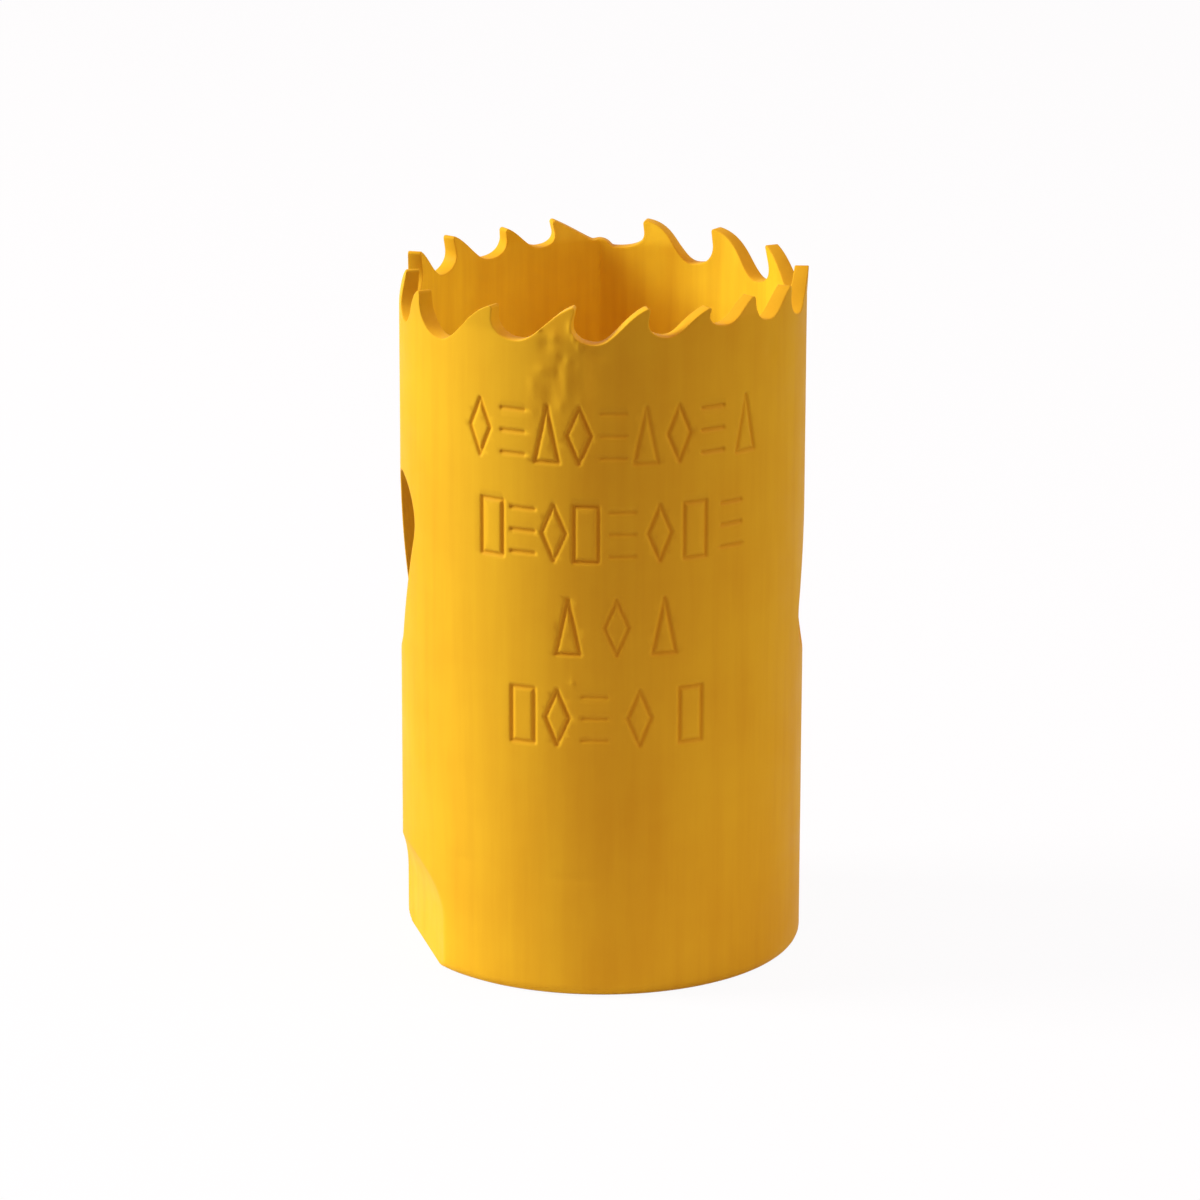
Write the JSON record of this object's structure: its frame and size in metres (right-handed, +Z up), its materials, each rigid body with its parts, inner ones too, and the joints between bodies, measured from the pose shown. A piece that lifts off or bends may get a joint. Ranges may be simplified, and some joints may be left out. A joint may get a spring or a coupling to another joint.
{
  "type": "hole saw",
  "caption": "Bi-metal hole saw: a toothed steel cup with two core slots and a thick threaded back, painted yellow all over.",
  "frame": {"origin": "centre of the flat back face, on the saw's axis", "axes": "+Z up the axis from the back to the teeth, -Y towards the front with the stamped marks"},
  "size_m": [0.0293, 0.0293, 0.0505],
  "materials": {
    "toothed_shell": "semi-gloss yellow enamel over bi-metal strip",
    "arbor_cap": "semi-gloss yellow enamel over steel"
  },
  "bodies": {
    "root": {"toothed_shell": "toothed_shell", "arbor_cap": "arbor_cap"}
  },
  "joints": []
}
